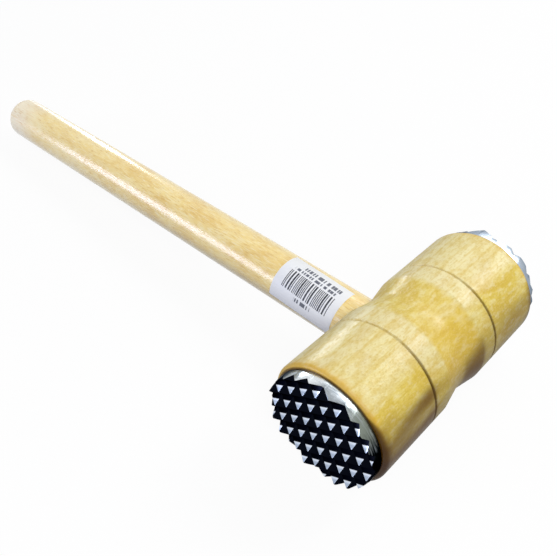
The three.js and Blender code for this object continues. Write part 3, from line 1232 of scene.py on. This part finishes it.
@dataclass
class ToothPlate:
    """A cast tooth plate: a disc with a boss, and pyramids left between two sets of V-shaped grooves."""

    node: str
    name: str
    pitch: float
    tooth_height: float
    tip_width: float
    shift_across: float
    shift_up: float
    turn_degrees: float
    # The turn of the flanks that carry the painted highlight.
    glint_flank_degrees: float = 90.0
    thickness: float = 3.4
    back_radius: float = 24.99
    front_radius: float = 24.9
    boss_radius: float = 7.5
    boss_height: float = 5.0
    hole_radius: float = 2.8
    hole_end: float = 1.8
    edge_width: float = 0.11
    edge_steps: int = 2
    edge_degrees: float = 20.0
    crease_degrees: float = 24.0
    merged_within: float = 0.002
    flat_degrees: float = 0.5
    segments: int = 96
    overrun: float = 1.0
    clearance: float = 0.1

    def seat(self) -> Matrix:
        """Finds the plate's own frame: on the middle of its disc's back, with Y towards the teeth.

        Returns:
            The frame's place in the model.
        """
        low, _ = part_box(self.node)
        head_low, head_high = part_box("head")
        facing = 1 if low.y > head_low.y else -1
        back = head_high.y if facing > 0 else head_low.y
        flip = Matrix.Rotation(0 if facing > 0 else math.pi, 4, "X")
        middle = (head_low + head_high) / 2
        return Matrix.Translation((0, back - middle.y, 0)) @ head_seat() @ flip

    def glint_flank(self) -> tuple[float, float, float]:
        """Works out the outward direction of the tooth flanks that carry the painted highlight.

        Returns:
            The direction, in the plate's own frame.
        """
        lean = math.atan2(self.tooth_height, (self.pitch - self.tip_width) / 2)
        angle = math.radians(self.turn_degrees + self.glint_flank_degrees)
        return math.sin(lean) * math.cos(angle), math.cos(lean), -math.sin(lean) * math.sin(angle)

    def comb(self, shift: float, along_x: bool, spare: float, seat: Matrix) -> bpy.types.Object:
        """Makes the cutter for one set of grooves: a V for each groove, and a flat for each row of tips.

        Args:
            shift: How far the grooves lie from the disc's middle.
            along_x: Whether the grooves run along X before the turn, and not along Z.
            spare: How far the flats stand above the tips.
            seat: Where the plate's own frame lies in the model.

        Returns:
            The cutter.
        """
        rows = math.ceil((self.back_radius + abs(shift)) / self.pitch) + 1
        high = self.thickness + self.tooth_height + spare
        half_top = (self.pitch - self.tip_width) / 2 * (1 + spare / self.tooth_height)
        edge = []
        for row in range(-rows, rows + 1):
            root = row * self.pitch + shift
            edge += [(root - half_top, high), (root, self.thickness), (root + half_top, high)]
        roof = high + 2 * self.overrun
        edge += [(edge[-1][0], roof), (edge[0][0], roof)]
        reach = 2 * self.back_radius
        points = [Vector((end, up, across) if along_x else (across, up, end))
                  for end in (-reach, reach) for across, up in edge]
        count = len(edge)
        faces = [tuple(range(count)), tuple(range(count, 2 * count))]
        faces += [(i, (i + 1) % count, count + (i + 1) % count, count + i) for i in range(count)]
        turned = seat @ Matrix.Rotation(math.radians(self.turn_degrees), 4, "Y")
        return mesh_object("groove_cutter", points, faces, turned)

    def ease_edges(self, piece: bpy.types.Object, tip: float) -> None:
        """Rounds the sharp edges as casting leaves them, and keeps the tips at their height.

        Args:
            piece: The plate.
            tip: The height of the teeth's tips.
        """
        bench = bmesh.new()
        bench.from_mesh(piece.data)
        bmesh.ops.remove_doubles(bench, verts=bench.verts, dist=self.merged_within * MM)
        bmesh.ops.recalc_face_normals(bench, faces=bench.faces)
        bmesh.ops.dissolve_limit(bench, angle_limit=math.radians(self.flat_degrees), verts=bench.verts,
                                 edges=bench.edges)
        least = math.radians(self.edge_degrees)
        sharp = [edge for edge in bench.edges if edge.is_manifold and edge.calc_face_angle() > least]
        bmesh.ops.bevel(bench, geom=sharp, offset=self.edge_width * MM, segments=self.edge_steps, profile=0.5,
                        affect="EDGES", clamp_overlap=False)
        for vertex in bench.verts:
            vertex.co.y = min(vertex.co.y, tip * MM)
        turn_outwards(bench)
        bench.to_mesh(piece.data)
        bench.free()

    def build(self, finish: CastAluminium) -> bpy.types.Object:
        """Makes the plate, eases its edges and dresses it.

        Args:
            finish: The metal's finish.

        Returns:
            The plate.
        """
        seat = self.seat()
        tip = self.thickness + self.tooth_height
        outline = [Vector(p) for p in (
            (0, self.hole_end), (self.hole_radius, self.hole_end), (self.hole_radius, -self.boss_height),
            (self.boss_radius, -self.boss_height), (self.boss_radius, 0), (self.back_radius, 0),
            (self.front_radius, tip + self.overrun), (0, tip + self.overrun),
        )]
        piece = revolve(self.name, outline, self.segments, seat)
        cut(piece, self.comb(self.shift_across, False, 0.0, seat))
        cut(piece, self.comb(self.shift_up, True, self.clearance, seat))
        self.ease_edges(piece, tip)
        smooth(piece, self.crease_degrees)
        piece.data.materials.append(finish.build(seat, self.glint_flank(), self.thickness, tip))
        return piece


@dataclass
class Label:
    """The paper sticker wrapped round the handle near the head, a little askew."""

    length: float = 35.0
    height: float = 25.0
    thickness: float = 0.12
    lift: float = 0.06
    from_head_axis: float = 47.9
    from_top_degrees: float = 41.0
    skew_degrees: float = 4.0
    steps_along: int = 70
    steps_round: int = 50
    crease_degrees: float = 40.0

    def build(self, finish: PrintedPaper, handle: Handle) -> bpy.types.Object:
        """Makes the label and dresses it.

        Args:
            finish: The paper's finish.
            handle: The handle that it is stuck to.

        Returns:
            The label.
        """
        inner = handle.radius + self.lift
        skew = math.radians(self.skew_degrees)
        middle = handle.reach() - self.from_head_axis
        points, flat = [], []
        for radius in (inner, inner + self.thickness):
            for row in range(self.steps_round + 1):
                for column in range(self.steps_along + 1):
                    x = self.length * (column / self.steps_along - 0.5)
                    z = self.height * (row / self.steps_round - 0.5)
                    along = middle + x * math.cos(skew) - z * math.sin(skew)
                    around = x * math.sin(skew) + z * math.cos(skew)
                    angle = math.radians(self.from_top_degrees) + around / inner
                    points.append(Vector((along, -radius * math.sin(angle), radius * math.cos(angle))))
                    flat.append((x, -z))
        piece = mesh_object("paper_label", points, self.faces(), handle.seat())
        layer = piece.data.uv_layers.new(name="flat_mm")
        for loop in piece.data.loops:
            layer.data[loop.index].uv = flat[loop.vertex_index]
        smooth(piece, self.crease_degrees)
        piece.data.materials.append(finish.build())
        return piece

    def faces(self) -> list[tuple[int, int, int, int]]:
        """Lists the faces of the inner sheet, the outer sheet and the edge between them.

        Returns:
            The faces, as vertex numbers.
        """
        wide, tall = self.steps_along + 1, self.steps_round + 1
        sheet = wide * tall
        faces = []
        for row in range(self.steps_round):
            for column in range(self.steps_along):
                corner = row * wide + column
                square = (corner, corner + 1, corner + wide + 1, corner + wide)
                faces.append(square)
                faces.append(tuple(sheet + i for i in reversed(square)))
        border = [*range(wide), *range(2 * wide - 1, sheet, wide), *range(sheet - 2, sheet - wide - 1, -1),
                  *range(sheet - 2 * wide, 0, -wide)]
        for here, after in zip(border, [*border[1:], border[0]]):
            faces.append((after, here, sheet + here, sheet + after))
        return faces


@dataclass(frozen=True)
class Softbox:
    """A soft lamp, placed by the direction in which the mallet sees it. Its sizes are in metres."""

    name: str
    azimuth_degrees: float
    elevation_degrees: float
    distance: float
    width: float
    height: float
    radiance: float
    colour: str = "FFFFFF"

    def build(self, target: Vector) -> bpy.types.Object:
        """Hangs the lamp and aims it.

        Args:
            target: The point that it lights, in metres.

        Returns:
            The lamp.
        """
        light = bpy.data.lights.new(self.name, "AREA")
        light.shape = "RECTANGLE"
        light.size, light.size_y = self.width, self.height
        light.energy = self.radiance * math.pi * self.width * self.height
        light.color = linear(self.colour)[:3]
        lamp = bpy.data.objects.new(self.name, light)
        bpy.context.scene.collection.objects.link(lamp)
        turn, rise = math.radians(self.azimuth_degrees), math.radians(self.elevation_degrees)
        towards = Vector((math.cos(rise) * math.cos(turn), math.cos(rise) * math.sin(turn), math.sin(rise)))
        lamp.location = target + towards * self.distance
        lamp.rotation_euler = (-towards).to_track_quat("-Z", "Y").to_euler()
        lamp.visible_camera = False
        return lamp


@dataclass
class Studio:
    """The plain pale floor, the soft lamps, and the camera at the photograph's viewing angle."""

    camera_from_head: tuple[float, float, float] = (76.716, -174.261, 212.243)
    heading_degrees: float = 130.944
    lift_degrees: float = -44.0964
    roll_degrees: float = 2.9935
    lens: float = 43.0225
    sensor_width: float = 36.0
    clip_start: float = 10.0
    floor_radius: float = 4000.0
    floor_segments: int = 96
    floor_drop: float = 0.02
    floor_colour: str = "F4F4F4"
    floor_glow: float = 0.93
    bounce_colour: str = "3C3A36"
    white: str = "FFFFFF"
    world_strength: float = 0.07
    backdrop_strength: float = 0.935
    lamps: tuple[Softbox, ...] = (
        Softbox("key_behind", 96, 45, 1.1, 1.0, 0.5, 2.8),
        Softbox("key_streak", 64, 44, 1.05, 0.28, 0.34, 9.8),
        Softbox("strip_left_behind", 149.5, 7, 0.9, 0.07, 0.13, 34.0, "F2F6FF"),
        Softbox("strip_front_left", -135, 8, 0.9, 0.48, 0.28, 8.0, "D8DEFF"),
        Softbox("fill_front_right", -50, 50, 1.2, 0.8, 0.8, 5.2),
    )

    def build(self) -> None:
        """Sets the stage."""
        self.floor()
        self.world()
        low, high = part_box("head")
        middle = (low + high) / 2
        for lamp in self.lamps:
            lamp.build(middle)
        self.camera(middle)

    def floor(self) -> None:
        """Lays the floor: plain and pale, with the mallet's soft shadow."""
        bench = bmesh.new()
        bmesh.ops.create_circle(bench, cap_ends=True, segments=self.floor_segments,
                                radius=self.floor_radius * MM)
        mesh = bpy.data.meshes.new("floor")
        bench.to_mesh(mesh)
        bench.free()
        floor = bpy.data.objects.new("floor", mesh)
        bpy.context.scene.collection.objects.link(floor)
        floor.location.z = -self.floor_drop * MM
        material, tree = new_material("pale_floor")
        shown = self.shown(tree)
        lit = add_node(tree, "ShaderNodeBsdfDiffuse", {"Color": linear(self.floor_colour)})
        glow = add_node(tree, "ShaderNodeEmission", {"Color": linear(self.white), "Strength": 1.0})
        pale = add_node(tree, "ShaderNodeMixShader", {
            0: self.floor_glow, 1: lit.outputs["BSDF"], 2: glow.outputs["Emission"],
        })
        bounce = add_node(tree, "ShaderNodeBsdfDiffuse", {"Color": linear(self.bounce_colour)})
        mixed = add_node(tree, "ShaderNodeMixShader", {
            0: shown, 1: bounce.outputs["BSDF"], 2: pale.outputs["Shader"],
        })
        add_node(tree, "ShaderNodeOutputMaterial", {"Surface": mixed.outputs["Shader"]})
        mesh.materials.append(material)

    def shown(self, tree: bpy.types.NodeTree) -> bpy.types.NodeSocket:
        """Adds a mask for the rays that show a surface: camera, glossy and transmission rays.

        Args:
            tree: The node tree.

        Returns:
            1 for these rays, and 0 for the ones that only carry light.
        """
        path = add_node(tree, "ShaderNodeLightPath")
        either = add_node(tree, "ShaderNodeMath", {
            0: path.outputs["Is Camera Ray"], 1: path.outputs["Is Glossy Ray"],
        }, operation="MAXIMUM")
        return add_node(tree, "ShaderNodeMath", {
            0: either.outputs["Value"], 1: path.outputs["Is Transmission Ray"],
        }, operation="MAXIMUM").outputs["Value"]

    def world(self) -> None:
        """Fills the room with even light, and shows white behind the floor."""
        world = bpy.data.worlds.new("studio")
        world.use_nodes = True
        tree = world.node_tree
        tree.nodes.clear()
        strength = add_node(tree, "ShaderNodeMapRange", {
            "Value": self.shown(tree), "To Min": self.world_strength, "To Max": self.backdrop_strength,
        })
        back = add_node(tree, "ShaderNodeBackground", {
            "Color": linear(self.white), "Strength": strength.outputs["Result"],
        })
        add_node(tree, "ShaderNodeOutputWorld", {"Surface": back.outputs["Background"]})
        bpy.context.scene.world = world

    def camera(self, middle: Vector) -> None:
        """Stands the camera where the photograph was taken.

        Args:
            middle: The middle of the head, in metres.
        """
        data = bpy.data.cameras.new("camera")
        data.lens = self.lens
        data.sensor_fit = "HORIZONTAL"
        data.sensor_width = self.sensor_width
        data.clip_start = self.clip_start * MM
        camera = bpy.data.objects.new("camera", data)
        bpy.context.scene.collection.objects.link(camera)
        turn = (Matrix.Rotation(math.radians(self.heading_degrees - 90), 4, "Z")
                @ Matrix.Rotation(math.radians(90 + self.lift_degrees), 4, "X")
                @ Matrix.Rotation(math.radians(self.roll_degrees), 4, "Z"))
        camera.matrix_world = Matrix.Translation(middle + Vector(self.camera_from_head) * MM) @ turn
        bpy.context.scene.camera = camera


def seat_piece(piece: bpy.types.Object, node: str) -> None:
    """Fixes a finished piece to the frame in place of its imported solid, and reports it.

    The mesh takes the turn of its object, so that the object's box lies along the model's axes.

    Args:
        piece: The object.
        node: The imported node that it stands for.
    """
    place = Matrix.Translation(piece.matrix_world.translation)
    piece.data.transform(place.inverted() @ piece.matrix_world)
    piece.matrix_world = place
    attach(piece, "root")
    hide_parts(node)
    log.info("%s stands for %s, with %d faces", piece.name, node, len(piece.data.polygons))


def main() -> None:
    """Builds the mallet, then the studio round it."""
    logging.basicConfig(level=logging.INFO, format="%(name)s: %(message)s")
    bpy.context.scene.view_settings.view_transform = "Standard"
    head_wood = VarnishedHardwood(
        "head_hardwood", body="E7D066", pale="F2E8B8", deep="D6B64A", fleck="C2A038",
    )
    handle_wood = VarnishedHardwood(
        "handle_hardwood", body="FAE298", pale="FCF2CC", deep="EAC876", fleck="D0A658", painted_light_tint="FDF4DC",
        streak_mm=(1.2, 60.0), fleck_mm=(0.45, 4.5), mottled=0.3, dabbed=0.12, flecked=0.6,
        roughness=(0.2, 0.32), specular_level=0.5, coat_weight=0.6, relief_mm=0.04,
    )
    handle = Handle()
    fine = ToothPlate("fine_tooth_plate", "fine_casting", pitch=7.0, tooth_height=2.9, tip_width=0.4,
                      shift_across=-0.6, shift_up=-0.35, turn_degrees=33.5)
    coarse = ToothPlate("coarse_tooth_plate", "coarse_casting", pitch=10.0, tooth_height=3.3, tip_width=0.5,
                        shift_across=1.9, shift_up=3.3, turn_degrees=-54.9)
    seat_piece(Head().build(head_wood, handle, fine), "head")
    seat_piece(handle.build(handle_wood), "handle")
    # Painted reflections on the fine plate's rim, bright and dark.
    rim_reflections = (
        RimReflection(-124, 10, 6, "B4BCC2"),
        RimReflection(-106, 8, 6, "E2E7EA"),
        RimReflection(-44, 14, 9, "7E867C"),
        RimReflection(2, 34, 10, "15191A"),
        RimReflection(-152, 12, 6, "5A6470"),
    )
    # The fine plate's teeth are painted near-black as shade and reflection, and the coarse plate's are a pale
    # tone.
    dark_casting = CastAluminium("fine_cast_aluminium", painted_reflections=rim_reflections)
    bright_casting = CastAluminium("coarse_cast_aluminium", teeth_shade="A2B0BF", rim="B2BDC9", scratch="93A0B0")
    for plate, finish in ((fine, dark_casting), (coarse, bright_casting)):
        seat_piece(plate.build(finish), plate.node)
    seat_piece(Label().build(PrintedPaper(), handle), "handle_label")
    steel = DrawnSteel().build()
    for node in ("fine_plate_stud", "coarse_plate_stud"):
        frame["nodes"][node].material_slots[0].material = steel
        log.info("%s keeps its packed solid, in %s", node, steel.name)
    Studio().build()


if __name__ == "__main__":
    main()
